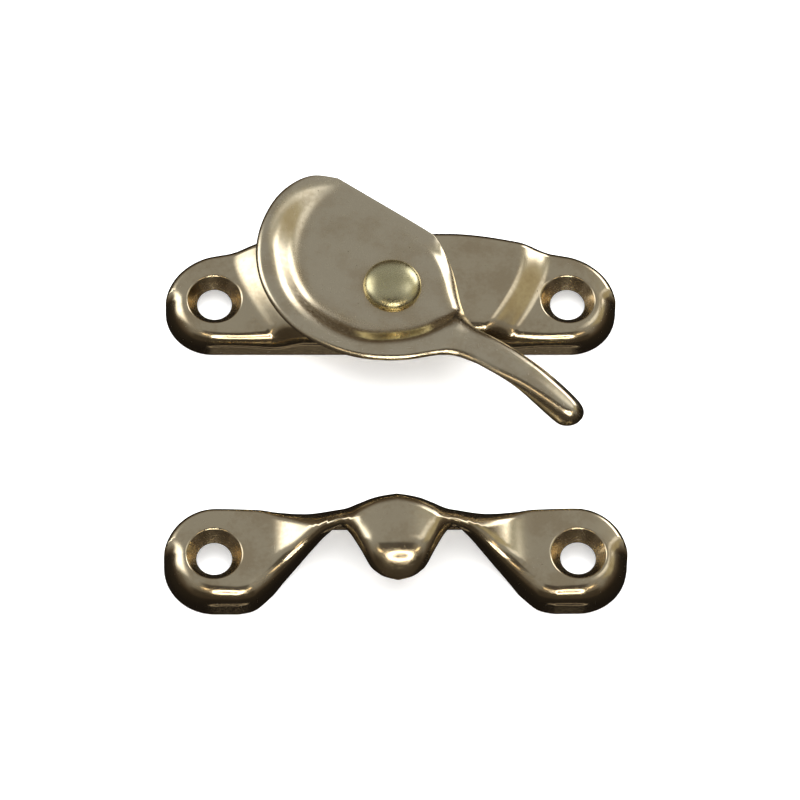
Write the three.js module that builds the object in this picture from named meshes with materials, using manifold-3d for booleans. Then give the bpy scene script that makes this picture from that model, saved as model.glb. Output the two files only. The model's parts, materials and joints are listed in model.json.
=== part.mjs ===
// Cam sash fastener with its keeper plate, pressed from sheet brass. Millimetres, +Z up, z = 0 is the face that
// both pieces are screwed down to. The cam lever turns about a vertical rivet in the middle of the lock base.

import * as THREE from 'three';
import { mergeVertices } from 'three/addons/utils/BufferGeometryUtils.js';
import Module from 'manifold-3d';

// ---- driving dimensions ----
const LENGTH = 63.5; // both plates, end to end
const SHEET = 1.1; // brass sheet of the two plates
const CAM_SHEET = 1.0;
const SCREW_SPACING = 49.6;
const SCREW_HOLE = 4.6; // diameter of the clear hole
const SCREW_SINK = 7.7; // diameter of the countersink's mouth
const PLATE_STEP = 40.4; // from the keeper's hole line to the lock's
const LOCK_Y = 14.6; // the lock's hole line, with the whole set centred on the origin

// lock base
const BASE = { endRadius: 6.65, endY: -0.05, earTop: 4.3, bossTop: 6.0, bend: 1.8 };
const HUMP = { height: 3.8, inner: 8, outer: 32 }; // rise of the back edge behind the boss
const BOSS = { front: 12, grow: 5.9, backY: 6.4, depth: 12.3, power: 1.6, ramp: 4.7 };
const PIVOT_BORE = 4.3;
const STOP = { radius: 8.5, angles: [93, 185], size: 2.0, top: 6.68 };

// cam lever
const PLATFORM_TOP = 7.9;
const RIM_TOP = 9.85;
const MOUTH = { distance: 10.34, normal: 55.4 }; // the straight open edge of the dish
const SKIRT_FOOT = -1.55; // lowest edge of the cam, from the top of its platform

// rivet stack
const RIVET = { head: 8.1, rise: 1.6, shank: 3.8, tail: 5.6, tailTop: 3.2, tailBottom: 2.1 };
const GAP = 0.05; // between pieces that bear on each other
const FINENESS = 0.02; // slivers smaller than this are merged after a cut or join

// keeper
const KEEPER = { endRadius: 7.0, endY: 0.2, earTop: 6.4, archTop: 11.2, hookTop: 11.8, bend: 2.2 };

const HOOK_DROP = 3.3; // from the top of the hook to the edge of its turned-down tip

// Stops are [place, value] pairs joined by a smooth curve. The plates are mirror images about x = 0, so x runs from
// the middle outwards.
const KEEPER_FRONT = [
  [0, -5.6], [1.9, -5.2], [3, -4.5], [3.9, -3.5], [5, -1.5], [6.1, 0.6], [7, 1.9], [7.6, 2.3],
  [8.6, 2.1], [10, 1.8], [11.6, 0.9], [13.3, -0.5], [15.4, -2.5], [17.5, -4.7], [19.2, -6.2], [21.5, -6.8], [30, -6.8],
];
const KEEPER_TRIM = [
  [0, 8.5], [1.6, 8.6], [3, 9.3], [4, 10], [4.8, 10.15], [7.6, 10.15], [8.6, 8.2],
  [9.8, 6.2], [11.5, 3.9], [13.3, 2.2], [15.4, 0.8], [17.6, -0.6],
];
const KEEPER_FRONT_BEND = [[0, 3.9], [1.6, 3.4], [3, 2.5], [4, 1.8], [5.2, 1.5], [7.4, 1.2], [9, 1.3], [13, 1.8], [18, 2.2], [32, 2.2]];

// Stops of the cam are [angle from +x in degrees, radius from the pivot].
const CAM_EDGE = [
  [112.6, 19.1], [122, 21.1], [134, 21.5], [148, 20.9], [168, 19.6], [192, 17.5], [212, 15.7], [230, 14.3],
  [251, 13.3], [268, 12.9], [287, 13], [302, 13.5], [318, 13.2], [333, 11.6], [348, 9.9], [366, 9.2], [392, 9.4],
  [415.4, 10.34],
];
const CAM_WALL_TOP = [
  [112.6, 18.4], [131, 20.1], [143, 20.1], [155, 19.6], [169, 17.5], [191, 15.6], [216, 13.6], [243, 12],
  [264, 10.9], [283, 10.7], [303, 10.9], [318, 11.2], [333, 10.2], [360, 8.5], [415.4, 8.6], [440, 10.2], [472.6, 18.4],
];
const CAM_WALL_FOOT = [
  [112.6, 17.3], [131, 16.3], [144, 15.2], [169, 13.2], [191, 11], [207, 9.3], [223, 8.1], [237, 7.5],
  [278, 6.8], [314, 7.5], [334, 9], [360, 7.7], [415.4, 7.8], [440, 9.4], [472.6, 17.3],
];
const CAM_RIM = [[112.6, 0], [124, 0.3], [142, 0.8], [162, 1], [312, 1], [322, 0.8], [340, 0], [472.6, 0]];
const CAM_SKIRT = [[112.6, 0], [312, 0], [322, 0.1], [338, 1], [400, 1], [418, 0], [472.6, 0]];

const LEVER_LINE = [
  [7.6, -8.9, 9.5], [11.3, -10.3, 9.8], [14.9, -12.5, 9.8], [18.4, -14.8, 9.6],
  [21.7, -17.4, 9.2], [24.1, -19.4, 8.75], [25.7, -20.9, 8.4],
];
const LEVER_HALF = [[0, 2.4], [0.2, 2.5], [0.5, 2.5], [0.8, 2.6], [1, 2.3]];

const wasm = await Module();
wasm.setup();

const degrees = THREE.MathUtils.degToRad;
const blend = (from, to, at) => THREE.MathUtils.smoothstep(at, from, to);

// The value at `at` of a smooth curve through the stops.
function follow(stops, at) {
  const last = stops.length - 1;
  if (at <= stops[0][0]) return stops[0][1];
  if (at >= stops[last][0]) return stops[last][1];
  const i = stops.findIndex((stop) => stop[0] > at) - 1;
  const slope = (k) => {
    const a = stops[Math.max(k - 1, 0)];
    const b = stops[Math.min(k + 1, last)];
    return (b[1] - a[1]) / (b[0] - a[0]);
  };
  const span = stops[i + 1][0] - stops[i][0];
  const t = (at - stops[i][0]) / span;
  const rise = stops[i + 1][1] - stops[i][1];
  const ease = t * t * (3 - 2 * t);
  return stops[i][1] + rise * ease + span * t * (1 - t) * (slope(i) * (1 - t) - slope(i + 1) * t);
}

// A solid from a geometry whose surface is closed.
function solid(geometry) {
  const bare = geometry.clone();
  for (const name of Object.keys(bare.attributes)) {
    if (name !== 'position') bare.deleteAttribute(name);
  }
  const merged = mergeVertices(bare, 1e-4);
  const mesh = new wasm.Mesh({
    numProp: 3,
    vertProperties: new Float32Array(merged.attributes.position.array),
    triVerts: new Uint32Array(merged.index.array),
  });
  return new wasm.Manifold(mesh);
}

function geometryOf(manifold) {
  const mesh = manifold.simplify(FINENESS).getMesh();
  const geometry = new THREE.BufferGeometry();
  geometry.setAttribute('position', new THREE.BufferAttribute(mesh.vertProperties, 3));
  geometry.setIndex(new THREE.BufferAttribute(mesh.triVerts, 1));
  const flat = geometry.toNonIndexed();
  flat.computeVertexNormals();
  return flat;
}

// A skin over closed rings of points. `looped` joins the last ring to the first; otherwise both ends are capped.
function loft(rings, looped) {
  const size = rings[0].length;
  const positions = rings.flat(2);
  const index = [];
  const bands = looped ? rings.length : rings.length - 1;
  for (let i = 0; i < bands; i += 1) {
    const next = ((i + 1) % rings.length) * size;
    for (let k = 0; k < size; k += 1) {
      const a = i * size + k;
      const b = i * size + ((k + 1) % size);
      const c = next + k;
      const d = next + ((k + 1) % size);
      index.push(a, b, c, b, d, c);
    }
  }
  if (!looped) {
    for (const [start, turn] of [[0, 1], [(rings.length - 1) * size, -1]]) {
      const ring = rings[start / size];
      const middle = [0, 1, 2].map((axis) => ring.reduce((sum, point) => sum + point[axis], 0) / size);
      const centre = positions.length / 3;
      positions.push(...middle);
      for (let k = 0; k < size; k += 1) {
        const a = start + k;
        const b = start + ((k + 1) % size);
        index.push(centre, turn > 0 ? b : a, turn > 0 ? a : b);
      }
    }
  }
  const geometry = new THREE.BufferGeometry();
  geometry.setAttribute('position', new THREE.Float32BufferAttribute(positions, 3));
  geometry.setIndex(index);
  return geometry;
}

// ---- pressed plates ----

// How far below the flat a rounded edge is, at a distance from the outline.
function edgeDrop(distance, bend, deep) {
  if (bend <= 0 || distance >= bend) return 0;
  const reach = (bend - Math.max(distance, 0)) / bend;
  return deep * (1 - Math.sqrt(Math.max(0, 1 - reach * reach)));
}

// y of one long edge of a plate at x, drawn in by `inset`. side is -1 for the front and 1 for the back.
function edgeY(plate, x, side, inset) {
  const away = Math.abs(x);
  const endX = LENGTH / 2 - plate.endRadius;
  if (away > endX) {
    const radius = plate.endRadius - inset;
    const reach = side > 0 ? plate.back(away) - plate.endY : plate.endRadius;
    return plate.endY + side * (reach - inset) * Math.sqrt(Math.max(0, 1 - ((away - endX) / radius) ** 2));
  }
  const line = side > 0 ? plate.back : plate.front;
  const slope = (line(away + 0.05) - line(away - 0.05)) / 0.1;
  return line(away) - side * inset * Math.hypot(1, slope);
}

// How far a point is from one long edge, the round end included, for a plate drawn in by `inset`.
function edgeDistance(points, inset) {
  return (x, y) => Math.min(...points.map(([px, py]) => Math.hypot(px - x, py - y))) - inset;
}

function edgePoints(plate, side) {
  const points = [];
  const steps = 240;
  for (let i = 0; i <= steps; i += 1) {
    const x = (-LENGTH / 2) * Math.cos((Math.PI * i) / steps);
    points.push([x, edgeY(plate, x, side, 0)]);
  }
  return points;
}

// The solid under a plate's top skin, drawn in on every side by `inset`.
function plateSolid(plate, inset, floor) {
  const toFront = edgeDistance(edgePoints(plate, -1), inset);
  const toBack = edgeDistance(edgePoints(plate, 1), inset);
  const endX = LENGTH / 2 - inset;
  const across = [1, 0.985, 0.95, 0.89, 0.8, 0.68, 0.45, 0.15, -0.15, -0.45, -0.68, -0.8, -0.89, -0.95, -0.985, -1];
  const stations = [];
  const arc = [0.012, 0.05, 0.115, 0.21, 0.34, 0.52, 0.76];
  const round = plate.endRadius - inset;
  arc.forEach((part) => stations.push(-endX + part * round));
  const inner = -endX + round;
  const steps = plate.stations;
  for (let i = 0; i <= steps; i += 1) stations.push(inner + (i / steps) * -2 * inner);
  [...arc].reverse().forEach((part) => stations.push(endX - part * round));
  const rings = stations.map((x) => {
    const back = edgeY(plate, x, 1, inset);
    const front = edgeY(plate, x, -1, inset);
    const middle = (back + front) / 2;
    const half = (back - front) / 2;
    const top = across.map((part) => {
      const y = middle + part * half;
      const [frontBend, frontDeep, backBend, backDeep] = plate.bends(Math.abs(x));
      const drop = Math.max(
        edgeDrop(toFront(x, y), frontBend - inset, frontDeep - inset),
        edgeDrop(toBack(x, y), backBend - inset, backDeep - inset),
      );
      return [x, y, plate.top(x, y) - inset - drop];
    });
    return [[x, front, floor], [x, back, floor], ...top];
  });
  return solid(loft(rings, false));
}

function turnedCone(radiusTop, radiusBottom, top, bottom, x, y) {
  const geometry = new THREE.CylinderGeometry(radiusTop, radiusBottom, top - bottom, 24);
  geometry.rotateX(Math.PI / 2);
  geometry.translate(x, y, (top + bottom) / 2);
  return solid(geometry);
}

// A countersunk screw hole: the dish pressed below the sheet, and the opening through it.
function withScrewHoles(shell, top) {
  const flare = (SCREW_SINK - SCREW_HOLE) / 2;
  const foot = top - flare - 0.55;
  let made = shell;
  for (const x of [-SCREW_SPACING / 2, SCREW_SPACING / 2]) {
    const dish = turnedCone(SCREW_SINK / 2 + 0.9, SCREW_HOLE / 2 + 0.75, top - SHEET + 0.3, foot, x, 0);
    const mouth = turnedCone(SCREW_SINK / 2 + 1, SCREW_HOLE / 2, top + 1, top - flare, x, 0);
    const bore = turnedCone(SCREW_HOLE / 2, SCREW_HOLE / 2, top, foot - 1, x, 0);
    made = made.add(dish).subtract(mouth).subtract(bore);
  }
  return made;
}

const basePlate = {
  endRadius: BASE.endRadius,
  endY: BASE.endY,
  stations: 26,
  front: () => BASE.endY - BASE.endRadius,
  back: (x) => BASE.endY + BASE.endRadius + HUMP.height * (1 - blend(HUMP.inner, HUMP.outer, x)),
  bends: () => [BASE.bend, BASE.bend, BASE.bend, BASE.bend],
  top: (x, y) => {
    const part = THREE.MathUtils.clamp((BOSS.backY - y) / BOSS.depth, 0, 1);
    const side = BOSS.front + BOSS.grow * (1 - part ** BOSS.power);
    return BASE.earTop + (BASE.bossTop - BASE.earTop) * (1 - blend(side, side + BOSS.ramp, Math.abs(x)));
  },
};

function baseShell() {
  let shell = plateSolid(basePlate, 0, 0).subtract(plateSolid(basePlate, SHEET, -2));
  shell = withScrewHoles(shell, BASE.earTop);
  for (const angle of STOP.angles) {
    const x = STOP.radius * Math.cos(degrees(angle));
    const y = STOP.radius * Math.sin(degrees(angle));
    const lug = turnedCone(STOP.size / 2, STOP.size / 2, STOP.top, BASE.bossTop - 0.4, x, y);
    const punch = turnedCone(STOP.size / 2 - 0.3, STOP.size / 2 - 0.3, BASE.bossTop - 0.45, 3, x, y);
    shell = shell.add(lug).subtract(punch);
  }
  return shell.subtract(turnedCone(PIVOT_BORE / 2, PIVOT_BORE / 2, 9, 1, 0, 0));
}

const keeperPlate = {
  endRadius: KEEPER.endRadius,
  endY: KEEPER.endY,
  stations: 56,
  front: (x) => follow(KEEPER_FRONT, x),
  back: () => KEEPER.endY + KEEPER.endRadius,
  bends: (x) => {
    const bend = follow(KEEPER_FRONT_BEND, x);
    const rise = 1 - blend(8, 17, x);
    return [bend, Math.min(bend, HOOK_DROP), KEEPER.bend + 2.1 * rise, KEEPER.bend + 3.2 * rise];
  },
  top: (x) => {
    const away = Math.abs(x);
    const arch = (KEEPER.archTop - KEEPER.earTop) * (1 - blend(7.5, 16.5, away));
    return KEEPER.earTop + arch + (KEEPER.hookTop - KEEPER.archTop) * (1 - blend(5, 7.6, away));
  },
};

// What the front view leaves open: the two bays and the space below the hook.
function keeperTrim() {
  const reach = KEEPER_TRIM[KEEPER_TRIM.length - 1][0];
  const shape = new THREE.Shape();
  shape.moveTo(-reach, -2);
  for (let i = -30; i <= 30; i += 1) {
    const x = (reach * i) / 30;
    shape.lineTo(x, follow(KEEPER_TRIM, Math.abs(x)));
  }
  shape.lineTo(reach, -2);
  shape.closePath();
  const inside = KEEPER.endY + KEEPER.endRadius - SHEET - 0.1;
  const geometry = new THREE.ExtrudeGeometry(shape, { depth: 20, bevelEnabled: false });
  geometry.rotateX(Math.PI / 2);
  geometry.translate(0, inside, 0);
  return solid(geometry);
}

function keeperShell() {
  const shell = plateSolid(keeperPlate, 0, 0).subtract(plateSolid(keeperPlate, SHEET, -2));
  return withScrewHoles(shell, KEEPER.earTop).subtract(keeperTrim());
}

// ---- cam lever ----

function camEdge(angle) {
  if (angle <= 415.4) return follow(CAM_EDGE, angle);
  return MOUTH.distance / Math.cos(degrees(angle - 360 - MOUTH.normal));
}

// One closed section of the dish, from the bore out along the top and back along the underside.
function camSection(angle) {
  const rim = follow(CAM_RIM, angle);
  const skirt = follow(CAM_SKIRT, angle);
  const edge = camEdge(angle);
  const wallTop = Math.min(follow(CAM_WALL_TOP, angle), edge - 0.5);
  const foot = Math.min(follow(CAM_WALL_FOOT, angle), wallTop - 0.7);
  const rise = (RIM_TOP - PLATFORM_TOP) * rim;
  const top = [
    [2.1, 0], [foot - 0.9, 0], [foot - 0.2, 0.07 * rise], [foot + 0.5 * (wallTop - foot), 0.5 * rise],
    [wallTop - 0.15, 0.9 * rise - 0.12 * skirt], [0.5 * (wallTop + edge), rise - 0.3 * skirt],
    [edge - 0.35, rise - 0.12 * rim - 0.75 * skirt], [edge, rise - 0.5 * rim - 1.35 * skirt],
  ];
  const under = top.map(([radius, height], i) => {
    const before = top[Math.max(i - 1, 0)];
    const after = top[Math.min(i + 1, top.length - 1)];
    const run = Math.hypot(after[0] - before[0], after[1] - before[1]);
    const across = (after[1] - before[1]) / run;
    const down = (after[0] - before[0]) / run;
    const inward = i === 0 ? 0 : across * CAM_SHEET;
    const last = i === top.length - 1;
    return [radius + (last ? Math.min(inward, 0) : inward), Math.max(height - down * CAM_SHEET, SKIRT_FOOT)];
  });
  for (let i = under.length - 2; i >= 0; i -= 1) under[i][0] = Math.min(under[i][0], under[i + 1][0] - 0.04);
  const turn = degrees(angle);
  const place = ([radius, height]) => [radius * Math.cos(turn), radius * Math.sin(turn), PLATFORM_TOP + height];
  return [...top, ...under.reverse()].map(place);
}

function leverSolid() {
  const line = new THREE.CatmullRomCurve3(LEVER_LINE.map((point) => new THREE.Vector3(...point)));
  const rings = [];
  const steps = 22;
  for (let i = 0; i <= steps; i += 1) {
    const along = Math.sin((Math.PI / 2) * (i / steps)) * 0.997;
    const centre = line.getPointAt(along);
    const tangent = line.getTangentAt(along);
    const side = new THREE.Vector3(tangent.y, -tangent.x, 0).normalize();
    const nose = Math.max(0, (along - 0.87) / 0.13);
    const half = follow(LEVER_HALF, along) * Math.sqrt(Math.max(0.03, 1 - nose ** 2.4));
    const roll = 0.35 + 0.75 * blend(0.45, 0.95, along);
    const across = [-1, -0.93, -0.75, -0.4, 0, 0.4, 0.75, 0.93, 1];
    const top = across.map((part) => centre.clone().addScaledVector(side, part * half)
      .setZ(centre.z - roll * Math.abs(part) ** 3 - 0.3 * nose ** 2));
    const under = across.map((part) => centre.clone().addScaledVector(side, part * (half - 0.12))
      .setZ(centre.z - roll * Math.abs(part) ** 3 * 0.8 - 0.3 * nose ** 2 - CAM_SHEET));
    rings.push([...top, ...under.reverse()].map((point) => point.toArray()));
  }
  return solid(loft(rings, false));
}

function camLever() {
  const sections = [];
  const first = 112.6;
  for (let angle = first; angle < first + 359.9; angle += 5) sections.push(camSection(angle));
  return solid(loft(sections, true)).add(leverSolid());
}

// ---- rivet stack ----

function turned(profile, segments = 32) {
  const geometry = new THREE.LatheGeometry(profile.map(([r, z]) => new THREE.Vector2(r, z)), segments);
  geometry.rotateX(Math.PI / 2);
  return geometry;
}

function pivotRivet() {
  const seat = PLATFORM_TOP + GAP;
  const half = RIVET.head / 2;
  const ball = (half * half + RIVET.rise * RIVET.rise) / (2 * RIVET.rise);
  const dome = [];
  for (let i = 0; i <= 6; i += 1) {
    const radius = half * (1 - i / 6);
    dome.push([radius, seat + RIVET.rise - ball + Math.sqrt(ball * ball - radius * radius)]);
  }
  const tail = [[0, RIVET.tailBottom], [RIVET.tail / 2 - 0.6, RIVET.tailBottom + 0.1], [RIVET.tail / 2, RIVET.tailBottom + 0.7]];
  const shank = [[RIVET.tail / 2, RIVET.tailTop], [RIVET.shank / 2, RIVET.tailTop], [RIVET.shank / 2, seat]];
  return turned([...tail, ...shank, ...dome]);
}

function ring(inner, outer, bottom, top, lift = 0) {
  return turned([
    [inner, bottom + lift], [outer, bottom], [outer, top], [inner, top + lift], [inner, bottom + lift],
  ]);
}

function frictionWasher() {
  return ring(2.15, 4.4, BASE.bossTop + GAP, PLATFORM_TOP - CAM_SHEET - GAP);
}

function springWasher() {
  const under = BASE.bossTop - SHEET - GAP;
  return ring(2.15, 4.5, under - 0.95, under - 0.5, 0.5);
}

function backingBurr() {
  return ring(RIVET.shank / 2 + 0.1, 3.6, RIVET.tailTop + GAP, RIVET.tailTop + GAP + 0.6);
}

// ---- assembly ----

const brass = (colour, roughness) => new THREE.MeshStandardMaterial({ color: colour, roughness, metalness: 1 });
const plateBrass = brass(0xe6d7b4, 0.22);
const camBrass = brass(0xe8dab9, 0.26);
const rivetBrass = brass(0xd9cb86, 0.3);
const steel = new THREE.MeshStandardMaterial({ color: 0xb9bab8, roughness: 0.4, metalness: 1 });

function piece(name, geometry, material) {
  const mesh = new THREE.Mesh(geometry, material);
  mesh.name = name;
  return mesh;
}

const lock = new THREE.Group();
lock.position.y = LOCK_Y;
lock.add(piece('base_shell', geometryOf(baseShell()), plateBrass));
lock.add(piece('cam_lever', geometryOf(camLever()), camBrass));
lock.add(piece('pivot_rivet', pivotRivet(), rivetBrass));
lock.add(piece('friction_washer', frictionWasher(), steel));
lock.add(piece('spring_washer', springWasher(), steel));
lock.add(piece('backing_burr', backingBurr(), rivetBrass));

const keeper = new THREE.Group();
keeper.position.y = LOCK_Y - PLATE_STEP;
keeper.add(piece('keeper_plate', geometryOf(keeperShell()), plateBrass));

const fastener = new THREE.Group();
fastener.add(lock, keeper);

export default fastener;
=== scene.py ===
import json
import math

import bpy
import numpy as np
from mathutils import Matrix, Vector
from mathutils.geometry import delaunay_2d_cdt


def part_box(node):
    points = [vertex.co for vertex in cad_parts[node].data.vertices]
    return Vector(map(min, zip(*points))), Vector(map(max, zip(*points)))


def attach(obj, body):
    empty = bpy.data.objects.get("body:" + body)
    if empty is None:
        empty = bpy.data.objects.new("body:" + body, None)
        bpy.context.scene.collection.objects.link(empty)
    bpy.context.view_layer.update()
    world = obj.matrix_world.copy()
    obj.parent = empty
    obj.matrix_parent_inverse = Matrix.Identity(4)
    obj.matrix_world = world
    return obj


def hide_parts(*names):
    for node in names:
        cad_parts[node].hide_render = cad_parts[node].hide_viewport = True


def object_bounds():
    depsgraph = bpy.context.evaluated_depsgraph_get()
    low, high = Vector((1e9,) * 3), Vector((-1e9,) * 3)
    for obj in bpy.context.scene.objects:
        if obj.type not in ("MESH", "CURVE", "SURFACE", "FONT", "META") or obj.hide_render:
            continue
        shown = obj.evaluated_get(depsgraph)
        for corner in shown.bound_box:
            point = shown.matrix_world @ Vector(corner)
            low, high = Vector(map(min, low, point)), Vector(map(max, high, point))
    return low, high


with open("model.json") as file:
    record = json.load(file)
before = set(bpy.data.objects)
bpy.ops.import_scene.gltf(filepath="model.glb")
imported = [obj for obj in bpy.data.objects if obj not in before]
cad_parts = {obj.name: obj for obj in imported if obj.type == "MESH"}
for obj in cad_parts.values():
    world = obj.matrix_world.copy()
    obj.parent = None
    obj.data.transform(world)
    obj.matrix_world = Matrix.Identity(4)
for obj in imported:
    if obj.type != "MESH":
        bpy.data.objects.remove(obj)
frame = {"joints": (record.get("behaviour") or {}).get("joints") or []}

cad_low, cad_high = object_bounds()

# A pressed-brass cam sash fastener and its keeper. Sizes are millimetres measured from the middle of each
# plate's line of screw holes, x along the plate and y from the keeper to the lock. MM and each plate's own
# origin turn them into the frame's metres.

MM = 0.001
PIVOT = next(joint for joint in frame["joints"] if joint["name"] == "cam_turn")["pos_m"]
LENGTH = (cad_high.x - cad_low.x) / MM
SHEET = 1.1
CAM_SHEET = 1.0
EDGE = 0.16  # radius that polishing leaves on every cut edge
# hole and mouth are radii, and steep is in degrees
SCREW = {"x": 24.8, "hole": 2.3, "mouth": 3.85, "lip": 0.5, "steep": 49}

CROWN = 0.14  # how much the flats fall away towards their long edges
BASE = {"radius": 6.65, "y": -0.05, "ear": 4.3, "boss": 6.0}
# the front bend is narrowest at x, and widens over the reach to each side
BASE_BEND = {"front": 1.8, "front_wide": 3.1, "x": 22.5, "reach": 7, "back": 1.1}
BOSS = {"front": 12, "grow": 5.9, "back_y": 6.4, "depth": 12.3, "power": 1.6, "ramp": 5.0}
HUMP = {"height": 3.8, "inner": 8, "outer": 32}
# how fast the ears fall away from their screw holes along the plate, and how far the fall stays curved inwards
DOME = {"curve": 0.014, "reach": 4}
LUG = {"radius": 8.5, "angles": (93, 185), "size": 1.0, "rise": 0.68}
KEEPER = {"radius": 6.99, "y": 0.2, "ear": 6.4, "arch": 11.2, "hook": 11.8}
# inner and outer say between which distances from the middle each part of the keeper fades out
ARCH = {"inner": 7.5, "outer": 21, "fall": 1.2, "fall_outer": 10}
HOOK = {"inner": 5, "outer": 7.6}
TONGUE = {"root_y": -0.4, "curve": 0.12, "inner": 3.5, "outer": 7.5}
TONGUE_ROLL = {"share": 0.12, "inner": 1.5, "outer": 6}  # how much of the front bend's drop the tongue has
KEEPER_INSET = 0.002  # how far the keeper's back edge stays inside the CAD's
CAM = {"platform": 7.9, "rim": 9.85, "bore": 2.1}
WALL = {"least": 0.7, "lead": 0.6, "spread": 1.0, "soft": 0.4}  # the slope from the cam's dish up to its rim
RIM_ROLL = {"reach": 1.0, "drop": 0.5}
SKIRT_ROLL = {"reach": 2.6, "drop": 1.12}
RIVET = {
    "head": 4.05, "rise": 1.6, "fullness": 2.08, "shank": 1.9, "gap": 0.05,
    "tail": 2.8, "tail_top": 3.2, "tail_bottom": 2.1,
}
# radii of the washers, and the spring washer's thickness and dish
WASHER = {"bore": 2.15, "friction": 4.4, "spring": 4.5, "spring_sheet": 0.45, "spring_lift": 0.5}
BURR = {"play": 0.1, "radius": 3.6, "sheet": 0.6}

# [place, value] stops of smooth curves, x outwards from the middle of the keeper
KEEPER_FRONT = [
    [0, -5.55], [1.9, -5.15], [3, -4.45], [3.9, -3.49], [5, -1.49], [6.1, 0.6], [7, 1.9], [7.6, 2.3],
    [8.6, 2.1], [10, 1.8], [11.6, 0.9], [13.3, -0.5], [15.4, -2.5], [17.5, -4.7], [19.2, -6.19],
    [21.3, -6.77], [22.6, -6.79], [30, -6.79],
]
KEEPER_TRIM = [
    [0, 8.5], [1.6, 8.6], [3, 9.3], [4, 10], [4.8, 10.15], [7.6, 10.15], [8.6, 8.2],
    [9.8, 6.2], [11.5, 3.9], [13.3, 2.2], [15.4, 0.8], [17.6, -0.6],
]
KEEPER_FRONT_BEND = [
    [0, 2.4], [3, 2.4], [4, 2.3], [5.2, 2.0], [7.4, 1.3], [9, 1.4], [13, 2.2], [18, 2.5], [22, 2.4],
    [27, 2.8], [32, 3.4],
]
KEEPER_BACK_BEND = [[0, 3.2], [3, 3.7], [6.4, 5.2], [10.5, 5.4], [15.5, 2.6], [19, 1.1], [32, 1.1]]
KEEPER_BACK_DROP = [[0, 3.4], [3, 5.0], [6.4, 8.6], [10.5, 8.2], [15.5, 3.4], [19, 1.1], [32, 1.1]]

# stops of the cam: [angle from +x in degrees, radius from the pivot], or a share from 0 to 1
CAM_EDGE = [
    [112.6, 19.1], [122, 21.1], [134, 21.5], [148, 20.9], [168, 19.6], [192, 17.5], [212, 15.7],
    [230, 14.3], [251, 13.3], [268, 12.9], [287, 13], [302, 13.5], [318, 13.2], [333, 11.6], [348, 9.9],
    [366, 9.2], [392, 9.4], [415.4, 10.34],
]
CAM_WALL_TOP = [
    [112.6, 18.4], [131, 20.1], [143, 20.1], [155, 19.2], [169, 17.4], [191, 15.6], [216, 13.6],
    [243, 12], [264, 10.9], [283, 10.7], [303, 10.9], [318, 11.2], [333, 10.2], [360, 8.5],
    [415.4, 8.6], [440, 10.2], [472.6, 18.4],
]
CAM_WALL_FOOT = [
    [112.6, 17.3], [131, 16.3], [144, 15.2], [169, 13.2], [191, 11], [207, 9.3], [223, 8.1], [237, 7.5],
    [278, 6.8], [314, 7.5], [334, 9], [360, 7.7], [415.4, 7.8], [440, 9.4], [472.6, 17.3],
]
CAM_RIM = [[112.6, 0], [124, 0.3], [142, 0.8], [162, 1], [312, 1], [322, 0.8], [340, 0], [472.6, 0]]
CAM_SKIRT = [[112.6, 0], [312, 0], [322, 0.15], [342, 1], [372, 1], [396, 0.55], [416, 0], [472.6, 0]]
FRONT_NECK = [(5.4, -12.1), (7.2, -11.9), (8.8, -12.1), (10.3, -12.7)]
BACK_NECK = [(13.1, -8.3), (12.0, -7.3), (11.2, -6.2), (10.5, -4.6)]
LEVER_LINE = [
    (7.6, -8.9, 9.5), (11.3, -10.3, 9.8), (14.9, -12.5, 9.8), (18.4, -14.8, 9.6),
    (21.7, -17.4, 9.2), (24.1, -19.4, 8.75), (25.7, -20.9, 8.4),
]
LEVER_HALF = [[0, 2.4], [0.2, 2.5], [0.5, 2.5], [0.8, 2.6], [1, 2.3]]
# the lever's crown, roll width and roll drop, each with what its tip adds, and the shares of the way along
# between which the tip comes in; the dish turns into the lever between two distances along the heading
LEVER = {
    "crown": (0.4, 0.35), "width": (1.1, 0.7), "drop": (0.25, 1.15), "tip": (0.35, 0.95), "tip_fall": 0.3,
    "heading": (0.8, -0.6), "join": (11.6, 16.6),
}


# ---- curves and distances, on arrays of points ----

def follow(stops, at):
    """The value at each place of a smooth curve through the stops."""
    x, y = np.array(stops, float).T
    at = np.clip(np.asarray(at, float), x[0], x[-1])
    i = np.clip(np.searchsorted(x, at, side="right") - 1, 0, len(x) - 2)
    slope = np.concatenate([
        [(y[1] - y[0]) / (x[1] - x[0])],
        (y[2:] - y[:-2]) / (x[2:] - x[:-2]),
        [(y[-1] - y[-2]) / (x[-1] - x[-2])],
    ])
    span = x[i + 1] - x[i]
    t = (at - x[i]) / span
    ease = t * t * (3 - 2 * t)
    return y[i] + (y[i + 1] - y[i]) * ease + span * t * (1 - t) * (slope[i] * (1 - t) - slope[i + 1] * t)


def blend(low, high, at):
    t = np.clip((at - low) / (high - low), 0, 1)
    return t * t * (3 - 2 * t)


def spaced(line, step):
    """An open line of points, redrawn with even steps."""
    line = np.asarray(line, float)
    run = np.concatenate([[0], np.cumsum(np.hypot(*np.diff(line, axis=0).T))])
    count = max(2, int(round(run[-1] / step)) + 1)
    at = np.linspace(0, run[-1], count)
    return np.stack([np.interp(at, run, line[:, 0]), np.interp(at, run, line[:, 1])], 1)


def smooth_line(points, per_span=12):
    """A Catmull-Rom curve through a few points."""
    p = np.asarray(points, float)
    p = np.vstack([2 * p[0] - p[1], p, 2 * p[-1] - p[-2]])
    made = []
    for a, b, c, d in zip(p[:-3], p[1:-2], p[2:-1], p[3:]):
        for t in np.linspace(0, 1, per_span, endpoint=False):
            square, cube = 2 * a - 5 * b + 4 * c - d, 3 * b - a - 3 * c + d
            made.append(0.5 * (2 * b + (c - a) * t + square * t * t + cube * t**3))
    return np.array(made + [p[-2]])


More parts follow.
